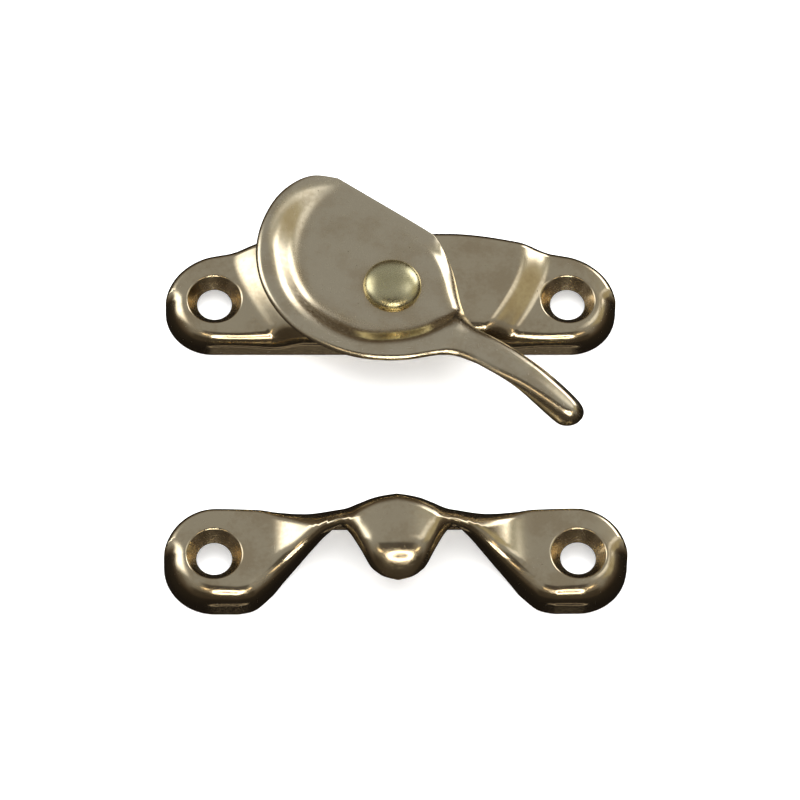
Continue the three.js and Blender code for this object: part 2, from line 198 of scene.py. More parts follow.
def beside(points, line, values=None):
    """Each point's distance from a line, positive on its left, and the line's values at the nearest place."""
    start, step = line[:-1], np.diff(line, axis=0)
    length = np.maximum((step**2).sum(1), 1e-12)
    distance = np.empty(len(points))
    carried = None if values is None else np.empty((len(points), values.shape[1]))
    for first in range(0, len(points), 1500):
        p = points[first:first + 1500]
        from_start = p[:, None] - start[None]
        t = np.clip((from_start * step).sum(2) / length, 0, 1)
        away = from_start - t[..., None] * step
        square = (away**2).sum(2)
        k = square.argmin(1)
        rows = np.arange(len(p))
        side = step[k, 0] * away[rows, k, 1] - step[k, 1] * away[rows, k, 0]
        distance[first:first + 1500] = np.sqrt(square[rows, k]) * np.where(side < 0, -1, 1)
        if values is not None:
            part = t[rows, k][:, None]
            carried[first:first + 1500] = values[k] * (1 - part) + values[k + 1] * part
    return distance if values is None else (distance, carried)


# ---- sheet metal: a triangulated top skin, an inner skin one sheet below it, and rounded edges ----

def circle(x, y, radius, count):
    """A hole's edge, clockwise, so that the sheet lies to its left."""
    angle = -np.arange(count) * 2 * math.pi / count
    return np.stack([x + radius * np.cos(angle), y + radius * np.sin(angle)], 1)


def inward(loop):
    along = np.roll(loop, -1, 0) - np.roll(loop, 1, 0)
    return np.stack([-along[:, 1], along[:, 0]], 1) / np.hypot(*along.T)[:, None]


class Points:
    """Plan points that keep a gap to each other."""

    def __init__(self):
        self.placed, self.cells = [], {}

    def cell(self, p):
        return int(math.floor(p[0] * 2)), int(math.floor(p[1] * 2))

    def put(self, p, gap):
        column, row = self.cell(p)
        for i in range(column - 1, column + 2):
            for j in range(row - 1, row + 2):
                for q in self.cells.get((i, j), ()):
                    if (q[0] - p[0]) ** 2 + (q[1] - p[1]) ** 2 < gap * gap:
                        return
        self.cells.setdefault((column, row), []).append(p)
        self.placed.append(p)


def triangulate(outline, holes, rings, rounds, spacing):
    """Points, triangles and edge loops of a plan shape, from its outline, round holes, rings set in from the
    outline, rings round a centre, and a grid."""
    points = Points()
    loops = []
    for loop in [outline] + [circle(*hole) for hole in holes]:
        loops.append(list(range(len(points.placed), len(points.placed) + len(loop))))
        for p in loop:
            points.put(tuple(p), 0)
    closed = np.vstack([outline, outline[:1]])
    towards = inward(outline)
    for depth in rings:
        ring = outline + towards * depth
        for p, true_depth in zip(ring, beside(ring, closed)):
            if true_depth > depth * 0.97:
                points.put(tuple(p), min(0.2, 0.6 * depth + 0.04))
    for x, y, low, high, steps, count in rounds:
        for radius in np.linspace(low, high, steps):
            for p in circle(x, y, radius, count):
                points.put(tuple(p), 0.08)
    low, high = outline.min(0), outline.max(0)
    grid = np.array([
        (x + (row % 2) * spacing / 2, y)
        for row, y in enumerate(np.arange(low[1], high[1], spacing * 0.866))
        for x in np.arange(low[0], high[0], spacing)
    ])
    for p in grid[beside(grid, closed) > rings[-1] + 0.1]:
        if all(math.dist(p, (x, y)) > radius + 0.12 for x, y, radius, _ in holes):
            points.put(tuple(p), spacing * 0.6)
    edges = [(loop[i - 1], loop[i]) for loop in loops for i in range(len(loop))]
    _, _, faces, origins, _, _ = delaunay_2d_cdt([Vector(p) for p in points.placed], edges, [], 1, 1e-7)
    back = [origin[0] for origin in origins]
    plan = np.array(points.placed)
    triangles = []
    for face in faces:
        face = [back[i] for i in face]
        middle = plan[face].mean(0)
        if all(math.dist(middle, (x, y)) > radius for x, y, radius, _ in holes):
            triangles.append(face)
    return plan, triangles, loops


def unit(v):
    return v / np.maximum(np.linalg.norm(v, axis=1), 1e-9)[:, None]


def quads(first, second):
    n = len(first)
    return [(first[i], second[i], second[(i + 1) % n], first[(i + 1) % n]) for i in range(n)]


def sheet_piece(name, plan, triangles, loops, height, normal, thickness, floors, tarnish_and_shade, origin):
    """The closed sheet. floors gives each loop the heights its skirt comes down to, or None for a cut edge."""
    top = np.column_stack([plan, height])
    count = len(top)
    points, shading = [top, top - thickness * normal], [normal, -normal]
    near = np.min([np.abs(beside(plan, plan[loop + loop[:1]])) for loop in loops], 0)
    wear = np.exp(-near / 0.3)
    # The inner skin gets the full second mark: painted shade and tarnish on the underside.
    marks = [np.column_stack([wear, tarnish_and_shade]), np.column_stack([wear * 0, tarnish_and_shade * 0 + 1])]
    faces = [tuple(t) for t in triangles] + [(c + count, b + count, a + count) for a, b, c in triangles]
    total = 2 * count
    for loop, floor in zip(loops, floors):
        at, n = top[loop], normal[loop]
        rings = []
        if floor is None:
            out = unit(np.cross(np.roll(at, -1, 0) - np.roll(at, 1, 0), n))
        else:
            n = unit(n * [1, 1, 0])
            out = np.tile([0.0, 0.0, -1.0], (len(at), 1))
            at = np.column_stack([at[:, :2], floor + EDGE])
            rings.append((at, n))
        for angle in np.radians([60, 30, 0]):
            across, over = out * math.cos(angle), n * math.sin(angle)
            rings.append((at + EDGE * (across + over - n), across + over))
        for angle in np.radians([0, 30, 60]):
            across, over = out * math.cos(angle), n * math.sin(angle)
            rings.append((at + EDGE * (across - over + n) - n * thickness, across - over))
        if floor is not None:
            rings.append((at - n * thickness, -n))
        previous = loop
        for ring, ring_normal in rings:
            points.append(ring)
            shading.append(ring_normal)
            marks.append(np.tile([1.0, 0.0], (len(loop), 1)))
            current = list(range(total, total + len(loop)))
            total += len(loop)
            faces += quads(previous, current)
            previous = current
        faces += quads(previous, [i + count for i in loop])
    return make_piece(name, np.vstack(points), faces, np.vstack(shading), np.vstack(marks), origin)


def make_piece(name, points, faces, normal, marks, origin):
    """marks are two values that the materials read at each point: how worn it is, and how much tarnish and
    painted shade it gets.
    """
    mesh = bpy.data.meshes.new(name)
    mesh.from_pydata((points * MM + np.array(origin)).tolist(), [], faces)
    mesh.shade_smooth()
    mesh.normals_split_custom_set_from_vertices(unit(normal).tolist())
    for column, kind in enumerate(("wear", "tarnish_and_shade")):
        attribute = mesh.attributes.new(kind, "FLOAT", "POINT")
        attribute.data.foreach_set("value", marks[:, column].astype(np.float32))
    piece = bpy.data.objects.new(name, mesh)
    bpy.context.scene.collection.objects.link(piece)
    return piece


# ---- the two plates ----

def edge_line(plate, side):
    """One long edge of a plate with half of each round end, drawn with the metal on its left."""
    end = LENGTH / 2 - plate["radius"]
    angle = np.radians(np.linspace(0, 90, 60))
    tip = end + plate["radius"] * np.cos(angle)
    reach = plate["edge"][1](tip) - plate["y"] if side > 0 else plate["radius"]
    arc = np.stack([tip, plate["y"] + side * reach * np.sin(angle)], 1)
    x = np.linspace(end, -end, 900)
    line = np.vstack([arc, np.stack([x, plate["edge"][side](np.abs(x))], 1), arc[::-1] * [-1, 1]])
    return spaced(line if side > 0 else line[::-1], 0.14)


def slopes(field, points, step=0.01):
    """The change of a field of points along x and y, by differences."""
    return (
        (field(points + [step, 0]) - field(points - [step, 0])) / (2 * step),
        (field(points + [0, step]) - field(points - [0, step])) / (2 * step),
    )


def plate_skin(plate, points):
    """Height and normal of a plate's top skin: its flat, rounded over along the front and the back edge."""
    away = np.abs(points[:, 0])
    top_x, top_y = slopes(lambda p: plate["top"](p[:, 0], p[:, 1]), points)
    drop = np.zeros(len(points))
    normal = np.column_stack([-top_x, -top_y, np.ones(len(points))])
    for side in (-1, 1):
        line = edge_line(plate, side)

        def reach(p):
            bend = plate["bend"][side](np.abs(p[:, 0]))
            return np.clip((bend - beside(p, line)) / bend, 0, 1)

        deep = plate["deep"][side]
        deep_x, _ = slopes(lambda p: deep(np.abs(p[:, 0])), points)
        reach_x, reach_y = slopes(reach, points)
        at = reach(points)
        left = np.sqrt(1 - at**2)
        this = deep(away) * (1 - left)
        use = (at > 0) & (this > drop)
        bent = np.column_stack([
            left * ((1 - left) * deep_x - top_x) + deep(away) * at * reach_x,
            -left * top_y + deep(away) * at * reach_y,
            left,
        ])
        normal[use] = bent[use]
        drop = np.maximum(drop, this)
    return plate["top"](points[:, 0], points[:, 1]) - drop, unit(normal)


def countersink(points, height, normal, centre):
    """Presses a screw hole's dish with a rounded lip into the skin, and says how deep in it each point is."""
    away = points - [centre, 0]
    radius = np.hypot(*away.T)
    steep = math.radians(SCREW["steep"])
    lip, turn = SCREW["lip"], SCREW["lip"] * math.sin(steep)
    into = np.maximum(SCREW["mouth"] + lip * math.tan(steep / 2) - radius, 0)
    bend = np.minimum(into, turn)
    left = np.sqrt(lip**2 - bend**2)
    tilt = np.where(radius[:, None] > 1, away / np.maximum(radius, 1)[:, None], 0) * (-bend / left)[:, None]
    lean = normal[:, :2] / np.maximum(normal[:, 2:], 0.05)
    leaned = unit(np.column_stack([lean + tilt, np.ones(len(points))]))
    depth = lip - left + (into - bend) * math.tan(steep)
    return height - depth, np.where(into[:, None] > 0, leaned, normal), depth


def plate_piece(name, plate, holes, rounds, origin, press=None):
    outline = np.vstack([edge_line(plate, -1)[:-1], edge_line(plate, 1)[:-1]])
    outline = spaced(np.vstack([outline, outline[:1]]), 0.26)[:-1]
    band = 2.4  # how far in from the edge the rings reach, closest together at the edge
    rings = [band * (1 - math.cos(angle)) for angle in np.radians([9, 18, 27, 37, 48, 59, 70, 81])]
    for x in (-SCREW["x"], SCREW["x"]):
        holes = holes + [(x, 0, SCREW["hole"] + EDGE, 72)]
        rounds = rounds + [(x, 0, SCREW["hole"] + EDGE + 0.2, SCREW["mouth"] + 0.45, 12, 84)]
    plan, triangles, loops = triangulate(outline, holes, rings, rounds, 0.42)
    height, normal = plate_skin(plate, plan)
    if press:
        height, normal = press(plan, height, normal)
    # Darker deeper in each countersink: partly tarnish, partly painted shade.
    tarnish_and_shade = np.zeros(len(plan))
    for x in (-SCREW["x"], SCREW["x"]):
        height, normal, depth = countersink(plan, height, normal, x)
        tarnish_and_shade = np.maximum(tarnish_and_shade, np.clip(depth / 1.5, 0, 1))
    edge = plan[loops[0]]
    at_front = edge[:, 1] < plate["y"] + plate["radius"] - 1
    floor = np.where(at_front, np.maximum(plate["floor"](np.abs(edge[:, 0])), 0), 0)
    floor = np.minimum(floor, height[loops[0]] - EDGE - 0.02)
    floors = [floor] + [None] * (len(loops) - 1)
    return sheet_piece(name, plan, triangles, loops, height, normal, SHEET, floors, tarnish_and_shade, origin)


def ear_dome(x):
    """The gentle fall of an ear to both sides of its screw hole. It levels out towards the plate's middle."""
    away = np.abs(x) - SCREW["x"]
    return DOME["curve"] * away**2 / np.where(away < 0, 1 + (away / DOME["reach"]) ** 2, 1)


def base_top(x, y):
    part = np.clip((BOSS["back_y"] - y) / BOSS["depth"], 0, 1)
    side = BOSS["front"] + BOSS["grow"] * (1 - part ** BOSS["power"])
    boss = (BASE["boss"] - BASE["ear"]) * (1 - blend(side, side + BOSS["ramp"], np.abs(x)))
    return BASE["ear"] + boss - CROWN * ((y - BASE["y"]) / BASE["radius"]) ** 2 - ear_dome(x)


def press_lugs(points, height, normal):
    """The two stops for the cam, pushed up from below."""
    def rise(p):
        total = np.zeros(len(p))
        for angle in np.radians(LUG["angles"]):
            centre = LUG["radius"] * np.array([math.cos(angle), math.sin(angle)])
            away = np.hypot(*(p - centre).T)
            total += LUG["rise"] * (1 - blend(LUG["size"] - 0.4, LUG["size"] + 0.1, away))
        return total

    rise_x, rise_y = slopes(rise, points)
    lean = normal[:, :2] / np.maximum(normal[:, 2:], 0.05) - np.stack([rise_x, rise_y], 1)
    leaned = unit(np.column_stack([lean, np.ones(len(points))]))
    raised = rise(points) > 0
    return height + rise(points), np.where(raised[:, None], leaned, normal)


def level(value):
    return lambda x: value + 0 * np.asarray(x, float)


def base_shell():
    back = BASE["y"] + BASE["radius"]

    def front_bend(x):
        narrow = np.exp(-(((np.asarray(x, float) - BASE_BEND["x"]) / BASE_BEND["reach"]) ** 2))
        return BASE_BEND["front_wide"] + (BASE_BEND["front"] - BASE_BEND["front_wide"]) * narrow

    plate = {
        "radius": BASE["radius"], "y": BASE["y"], "top": base_top, "floor": level(0),
        "edge": {
            -1: level(BASE["y"] - BASE["radius"]),
            1: lambda x: back + HUMP["height"] * (1 - blend(HUMP["inner"], HUMP["outer"], x)),
        },
        "bend": {-1: front_bend, 1: level(BASE_BEND["back"])},
        "deep": {-1: front_bend, 1: level(BASE_BEND["back"])},
    }
    rounds = []
    for angle in np.radians(LUG["angles"]):
        centre = LUG["radius"] * np.array([math.cos(angle), math.sin(angle)])
        rounds.append((*centre, 0.3, LUG["size"] + 0.15, 8, 30))
    bore = CAM["bore"] + RIVET["gap"] + EDGE
    return plate_piece("base_shell_fine", plate, [(0, 0, bore, 72)], rounds, PIVOT_FOOT, press_lugs)


def keeper_top(x, y):
    away = np.abs(x)
    arch = (KEEPER["arch"] - KEEPER["ear"]) * (1 - blend(ARCH["inner"], ARCH["outer"], away)) ** 2
    arch -= ARCH["fall"] * blend(0, ARCH["fall_outer"], away)
    hook = (KEEPER["hook"] - KEEPER["arch"]) * (1 - blend(HOOK["inner"], HOOK["outer"], away))
    tongue = TONGUE["curve"] * np.maximum(TONGUE["root_y"] - y, 0) ** 2
    tongue *= 1 - blend(TONGUE["inner"], TONGUE["outer"], away)
    crown = CROWN * ((y - KEEPER["y"]) / KEEPER["radius"]) ** 2
    return KEEPER["ear"] + arch + hook - tongue - crown - ear_dome(x)


def keeper_plate():
    def front_drop(x):
        least = TONGUE_ROLL["share"]
        share = least + (1 - least) * blend(TONGUE_ROLL["inner"], TONGUE_ROLL["outer"], x)
        return follow(KEEPER_FRONT_BEND, x) * share

    plate = {
        "radius": KEEPER["radius"], "y": KEEPER["y"], "top": keeper_top,
        "floor": lambda x: follow(KEEPER_TRIM, x),
        "edge": {-1: lambda x: follow(KEEPER_FRONT, x), 1: level(KEEPER["y"] + KEEPER["radius"])},
        "bend": {-1: lambda x: follow(KEEPER_FRONT_BEND, x), 1: lambda x: follow(KEEPER_BACK_BEND, x)},
        "deep": {-1: front_drop, 1: lambda x: follow(KEEPER_BACK_DROP, x)},
    }
    return plate_piece("keeper_plate_fine", plate, [], [], KEEPER_FOOT)


# ---- the cam and its lever ----

def polar(stops, first, last, step=0.8):
    angle = np.arange(first, last, step)
    radius = follow(stops, angle)
    return np.stack([radius * np.cos(np.radians(angle)), radius * np.sin(np.radians(angle))], 1)


def lever_run():
    """The lever's centre line in even steps, with its height, share of the way along and half width."""
    line = smooth_line(LEVER_LINE)
    run = np.concatenate([[0], np.cumsum(np.linalg.norm(np.diff(line, axis=0), axis=1))])
    along = np.linspace(0, 1, 160)
    line = np.stack([np.interp(along * run[-1], run, line[:, axis]) for axis in range(3)], 1)
    return line[:, :2], np.stack([line[:, 2], along, follow(LEVER_HALF, along)], 1)


def lever_edges(start):
    """Both long edges of the lever from a share of its way to its rounded nose."""
    line, values = lever_run()
    keep = np.sin(np.linspace(math.asin(start), math.pi / 2, 90)) * 0.999
    centre = np.stack([np.interp(keep, values[:, 1], line[:, axis]) for axis in (0, 1)], 1)
    tangent = np.gradient(centre, axis=0)
    tangent /= np.hypot(*tangent.T)[:, None]
    nose = np.maximum(0, (keep - 0.87) / 0.13)
    half = np.interp(keep, values[:, 1], values[:, 2]) * np.sqrt(1 - nose**2.4)
    side = np.stack([tangent[:, 1], -tangent[:, 0]], 1) * half[:, None]
    return centre + side, centre - side


def cam_outline():
    front, back = lever_edges(0.25)
    last = CAM_EDGE[-1][0]
    rim, flank = polar(CAM_EDGE, CAM_EDGE[0][0], 291), polar(CAM_EDGE, 337, last)
    loop = np.vstack([
        rim[:-1], smooth_line([rim[-1], *FRONT_NECK, front[0]]), front[1:], back[::-1][1:-1],
        smooth_line([back[0], *BACK_NECK, flank[0]]), flank[1:], rim[:1],
    ])
    loop = spaced(loop, 0.24)[:-1]
    return loop + inward(loop) * EDGE


def rolled(reach, deep):
    """How far a rolled edge has dropped. reach is 0 where the roll starts, 1 at the edge, and may run on."""
    cut = 0.93
    inner = np.clip(reach, 0, 1)
    scale = deep / (1 - math.sqrt(1 - cut**2))
    slope = scale * cut**2 / math.sqrt(1 - cut**2)
    return scale * (1 - np.sqrt(1 - (cut * inner) ** 2)) + slope * np.maximum(reach - 1, 0)


def ramp(t, soft):
    """A straight ramp from 0 to 1 with rounded ends."""
    t = np.clip(t, 0, 1)
    steep = 1 / (1 - soft)
    middle = steep * (t - soft / 2)
    return np.where(t < soft, steep * t * t / (2 * soft),
                    np.where(t > 1 - soft, 1 - steep * (1 - t) ** 2 / (2 * soft), middle))


def cam_field(outline):
    """Height of the cam's top skin at plan points."""
    closed = np.vstack([outline, outline[:1]])
    line, values = lever_run()
    first = CAM_EDGE[0][0]

    def height(points):
        radius = np.hypot(*points.T)
        angle = np.mod(np.degrees(np.arctan2(points[:, 1], points[:, 0])) - first, 360) + first
        rim, skirt = follow(CAM_RIM, angle), follow(CAM_SKIRT, angle)
        wall_top = follow(CAM_WALL_TOP, angle)
        foot = np.minimum(follow(CAM_WALL_FOOT, angle), wall_top - WALL["least"])
        inside = beside(points, closed)
        rise = (CAM["rim"] - CAM["platform"]) * rim
        dish = rise * ramp((radius - foot + WALL["lead"]) / (wall_top - foot + WALL["spread"]), WALL["soft"])
        for roll, share in ((RIM_ROLL, rim), (SKIRT_ROLL, skirt)):
            dish -= rolled((roll["reach"] - inside) / roll["reach"], roll["drop"]) * share
        across, carried = beside(points, line, values)
        centre, along, half = carried.T
        part = np.abs(across) / half
        end = blend(*LEVER["tip"], along)
        crown, width, drop = (LEVER[key][0] + LEVER[key][1] * end for key in ("crown", "width", "drop"))
        lever = centre - crown * part**2 - LEVER["tip_fall"] * end**4 - rolled((width - inside) / width, drop)
        share = blend(*LEVER["join"], points @ LEVER["heading"])
        return CAM["platform"] + (1 - share) * dish + share * (lever - CAM["platform"])

    return height


def cam_lever():
    outline = cam_outline()
    band = 1.7  # how far in from the edge the rings reach, closest together at the edge
    rings = [band * (1 - math.cos(angle)) for angle in np.radians([12, 22, 32, 43, 54, 66, 78, 90])]
    bore = CAM["bore"] + EDGE
    hole, round_head = (0, 0, bore, 72), (0, 0, bore + 0.2, 4.4, 6, 72)
    plan, triangles, loops = triangulate(outline, [hole], rings, [round_head], 0.36)
    field = cam_field(outline)
    rise_x, rise_y = slopes(field, plan, 0.02)
    normal = unit(np.column_stack([-rise_x, -rise_y, np.ones(len(plan))]))
    first = CAM_EDGE[0][0]
    angle = np.mod(np.degrees(np.arctan2(plan[:, 1], plan[:, 0])) - first, 360) + first
    radius = np.hypot(*plan.T)
    # Darkening in the crease at the foot of the dish wall is painted shade, partly tarnish; the ring round the
    # rivet head is a painted contact shadow.
    foot = np.exp(-(((radius - follow(CAM_WALL_FOOT, angle)) / 0.9) ** 2)) * follow(CAM_RIM, angle)
    painted_head_shadow = np.exp(-np.maximum(radius - RIVET["head"], 0) / 0.35)
    tarnish_and_shade = np.clip(0.6 * foot + painted_head_shadow, 0, 1)
    cut_edges = [None, None]
    return sheet_piece(
        "cam_lever_fine", plan, triangles, loops, field(plan), normal, CAM_SHEET, cut_edges, tarnish_and_shade, PIVOT_FOOT)


# ---- turned pieces ----

def rounded(corners, soft, steps=4):
    """A profile of (radius, height) points with its sharp corners rounded, and the outward normal at each."""
    made = []
    for i in range(len(corners)):
        here = np.array(corners[i], float)
        before, after = np.array(corners[i - 1], float), np.array(corners[(i + 1) % len(corners)], float)
        reach_in, reach_out = np.linalg.norm(here - before), np.linalg.norm(after - here)
        if here[0] == 0:
            made.append((here, np.array([0.0, 1.0 if after[1] < here[1] or before[0] == 0 else -1.0])))
            continue
        arriving, leaving = (here - before) / reach_in, (after - here) / reach_out
        turn = math.atan2(arriving[0] * leaving[1] - arriving[1] * leaving[0], arriving @ leaving)
        out_in, out_out = np.array([arriving[1], -arriving[0]]), np.array([leaving[1], -leaving[0]])
        if abs(turn) < math.radians(25):
            made.append((here, out_in + out_out))
            continue
        radius = min(soft, 0.45 * min(reach_in, reach_out) / abs(math.tan(turn / 2)))
        start = here - arriving * radius * abs(math.tan(turn / 2))
        centre = start - out_in * radius * math.copysign(1, turn)
        for k in range(steps + 1):
            angle = turn * k / steps
            spoke = np.array([
                out_in[0] * math.cos(angle) - out_in[1] * math.sin(angle),
                out_in[0] * math.sin(angle) + out_in[1] * math.cos(angle),
            ])
            made.append((centre + spoke * radius * math.copysign(1, turn), spoke))
    return made


def turned_piece(name, corners, soft, origin, closed, segments=96):
    """A turned piece whose profile has the metal on its left. closed joins its last corner to its first."""
    profile = rounded(corners, soft)
    angle = np.arange(segments) * 2 * math.pi / segments
    points, shading, rings = [], [], []
    for place, out in profile:
        if place[0] < 1e-6:
            rings.append([len(points)] * segments)
            points.append((0, 0, place[1]))
            shading.append((0, 0, out[1]))
            continue
        rings.append(list(range(len(points), len(points) + segments)))
        for a in angle:
            points.append((place[0] * math.cos(a), place[0] * math.sin(a), place[1]))
            shading.append((out[0] * math.cos(a), out[0] * math.sin(a), out[1]))
    faces = []
    for first, second in zip(rings, rings[1:] + (rings[:1] if closed else [])):
        for face in quads(first, second):
            face = tuple(dict.fromkeys(face))[::-1]
            if len(face) > 2:
                faces.append(face)
    marks = np.zeros((len(points), 2))
    return make_piece(name, np.array(points, float), faces, np.array(shading, float), marks, origin)


def pivot_rivet():
    seat = CAM["platform"] + RIVET["gap"]
    power = 2 / RIVET["fullness"]
    edge = 0.1
    foot, rise = seat + edge, RIVET["rise"] - edge
    dome = [
        (RIVET["head"] * math.sin(turn) ** power, foot + rise * math.cos(turn) ** power)
        for turn in np.radians(np.linspace(90, 0, 30))
    ]
    tail, low, high = RIVET["tail"], RIVET["tail_bottom"], RIVET["tail_top"]
    profile = [
        (0, low + 0.25), (0.9, low + 0.12), (1.5, low), (tail - 0.35, low + 0.15), (tail, low + 0.6),
        (tail, high), (RIVET["shank"], high), (RIVET["shank"], seat), (RIVET["head"] - 0.02, seat),
    ]
    return turned_piece("pivot_rivet_fine", profile + dome, 0.22, PIVOT_FOOT, closed=False)


def washer(name, inner, outer, bottom, top, lift):
    profile = [(inner, bottom + lift), (outer, bottom), (outer, top), (inner, top + lift)]
    return turned_piece(name, profile, 0.1, PIVOT_FOOT, closed=True)


def washers():
    gap, bore, lift = RIVET["gap"], WASHER["bore"], WASHER["spring_lift"]
    low, high = BASE["boss"] + gap, CAM["platform"] - CAM_SHEET - gap
    friction = washer("friction_washer_fine", bore, WASHER["friction"], low, high, 0)
    high = BASE["boss"] - SHEET - gap - lift
    spring = washer("spring_washer_fine", bore, WASHER["spring"], high - WASHER["spring_sheet"], high, lift)
    low, bore = RIVET["tail_top"] + gap, RIVET["shank"] + BURR["play"]
    burr = washer("backing_burr_fine", bore, BURR["radius"], low, low + BURR["sheet"], 0)
    return friction, spring, burr


# ---- materials ----

class Nodes:
    """Short ways of adding nodes to a tree."""

    def __init__(self, tree):
        self.tree = tree
        tree.nodes.clear()

    def add(self, kind, inputs=(), **settings):
        node = self.tree.nodes.new("ShaderNode" + kind)
        for name, value in settings.items():
            setattr(node, name, value)
        for name, value in dict(inputs).items():
            self.join(value, node.inputs[name])
        return node

    def join(self, value, socket):
        if isinstance(value, bpy.types.NodeSocket):
            self.tree.links.new(value, socket)
        else:
            socket.default_value = value

    def math(self, operation, first, second=0.0, clamp=False):
        return self.add("Math", {0: first, 1: second}, operation=operation, use_clamp=clamp).outputs[0]

    def mix(self, share, first, second):
        node = self.add("Mix", {0: share, 6: first, 7: second}, data_type="RGBA")
        return node.outputs[2]

    def spread(self, value, low, high, to_low=0.0, to_high=1.0):
        inputs = {0: value, 1: low, 2: high, 3: to_low, 4: to_high}
        return self.add("MapRange", inputs, interpolation_type="SMOOTHSTEP").outputs[0]

    def noise(self, place, scale, detail=3.0, stretch=(1, 1, 1), turn=(0, 0, 0)):
        """Noise with scale features to a millimetre."""
        size = [s * scale / MM for s in stretch]
        mapped = self.add("Mapping", {"Vector": place, "Scale": size, "Rotation": turn}).outputs[0]
        return self.add("TexNoise", {"Vector": mapped, "Scale": 1.0, "Detail": detail}).outputs[0]


def metal(name, colour, tarnish, roughness, coat):
    """Polished sheet metal: cloudy tone, grain, polishing lines, small pits, brighter edges, tarnish and
    painted shade in hollows.
    """
    material = bpy.data.materials.new(name)
    material.use_nodes = True
    nodes = Nodes(material.node_tree)
    place = nodes.add("TexCoord").outputs["Object"]
    wear = nodes.add("Attribute", attribute_name="wear").outputs["Fac"]
    tarnish_and_shade = nodes.add("Attribute", attribute_name="tarnish_and_shade").outputs["Fac"]

    clouds = nodes.noise(place, 0.22, 4)
    mottle = nodes.noise(place, 1.6, 5)
    grain = nodes.noise(place, 14, 2)
    lines_along = nodes.noise(place, 9, 2, (0.06, 1, 1), (0, 0, 0.3))
    lines_across = nodes.noise(place, 9, 2, (1, 0.06, 1), (0, 0, 0.9))
    scratch = nodes.spread(nodes.math("MAXIMUM", lines_along, lines_across), 0.64, 0.74)
    pits = nodes.spread(nodes.noise(place, 3.1, 1), 0.76, 0.8)

    stain = nodes.math("ADD", clouds, nodes.math("MULTIPLY", mottle, 0.35))
    stain = nodes.spread(stain, 0.56, 0.86, 0.0, 0.34)
    # Darker in hollows, creases, on undersides and round the rivet head: partly tarnish, partly painted shade.
    stain = nodes.math("ADD", stain, nodes.math("MULTIPLY", tarnish_and_shade, 0.4))
    stain = nodes.math("SUBTRACT", stain, nodes.math("MULTIPLY", wear, 0.3), clamp=True)
    tone = nodes.mix(stain, (*colour, 1), (*tarnish, 1))
    bright = [min(1, c * 1.12 + 0.03) for c in colour]
    tone = nodes.mix(nodes.math("MULTIPLY", wear, 0.5), tone, (*bright, 1))
    tone = nodes.mix(nodes.math("MULTIPLY", pits, 0.5), tone, (*[c * 0.35 for c in tarnish], 1))

    rough = nodes.spread(mottle, 0.3, 0.75, roughness * 0.85, roughness * 1.2)
    rough = nodes.math("ADD", rough, nodes.math("MULTIPLY", scratch, 0.07))
    rough = nodes.math("ADD", rough, nodes.math("MULTIPLY", tarnish_and_shade, 0.1))
    rough = nodes.math("ADD", rough, nodes.math("MULTIPLY", pits, 0.2))

    relief = nodes.math("ADD", nodes.math("MULTIPLY", grain, 0.35), nodes.math("MULTIPLY", mottle, 0.8))
    relief = nodes.math("SUBTRACT", relief, nodes.math("MULTIPLY", scratch, 0.35))
    relief = nodes.math("SUBTRACT", relief, nodes.math("MULTIPLY", pits, 1.2))
    bump = nodes.add("Bump", {"Height": relief, "Strength": 0.35, "Distance": 0.000006})

    shader = nodes.add("BsdfPrincipled", {
        "Base Color": tone, "Roughness": rough, "Metallic": 1.0, "Normal": bump.outputs[0],
        "Coat Weight": coat, "Coat Roughness": 0.12, "Coat IOR": 1.5,
    })
    nodes.add("OutputMaterial", {"Surface": shader.outputs[0]})
    return material


# ---- light, floor and camera ----

def direction(azimuth, elevation):
    """A unit vector. The azimuth runs anticlockwise from +x."""
    a, e = math.radians(azimuth), math.radians(elevation)
    return Vector((math.cos(a) * math.cos(e), math.sin(a) * math.cos(e), math.sin(e)))


# azimuth, elevation, half width, half height and softness in degrees, and colour
PANELS = [
    (90, 61, 40, 24, 30, (0.30, 0.30, 0.305)),
    (36, 42, 13, 9, 10, (0.36, 0.36, 0.33)),
    (14, 38, 9, 9, 8, (0.42, 0.38, 0.27)),
    (90, 9, 60, 4, 4, (0.10, 0.075, 0.05)),
    (-90, 74, 15, 9, 6, (0.07, 0.062, 0.056)),
    (-90, 22, 45, 12, 8, (0.05, 0.04, 0.03)),
    (34, 58, 5, 4, 8, (1.0, 1.0, 1.02)),
    (49, 24, 8, 7, 9, (3.0, 3.0, 3.1)),
    (152, 34, 6, 7, 17, (2.3, 2.3, 2.35)),
    (-124, 54, 5, 1.2, 1.5, (3.2, 2.5, 1.6)),
    (-44, 52, 5, 1.2, 1.5, (3.2, 2.5, 1.6)),
]
# azimuth, elevation, radius and half width in degrees, and colour: a ring lamp and its image in a dark table
RINGS = [(-84, 47, 10, 2.1, (10.5, 9.8, 8.6)), (-84, -47, 10, 3.0, (0.42, 0.36, 0.29))]
# the room's colour at each height of the view's direction, from straight down to straight up
SKY = [
    (-1.0, (0.010, 0.008, 0.007)), (-0.1, (0.022, 0.018, 0.014)), (0.05, (0.04, 0.03, 0.022)),
    (0.4, (0.12, 0.10, 0.08)), (0.8, (0.22, 0.205, 0.185)), (1.0, (0.27, 0.26, 0.245)),
]


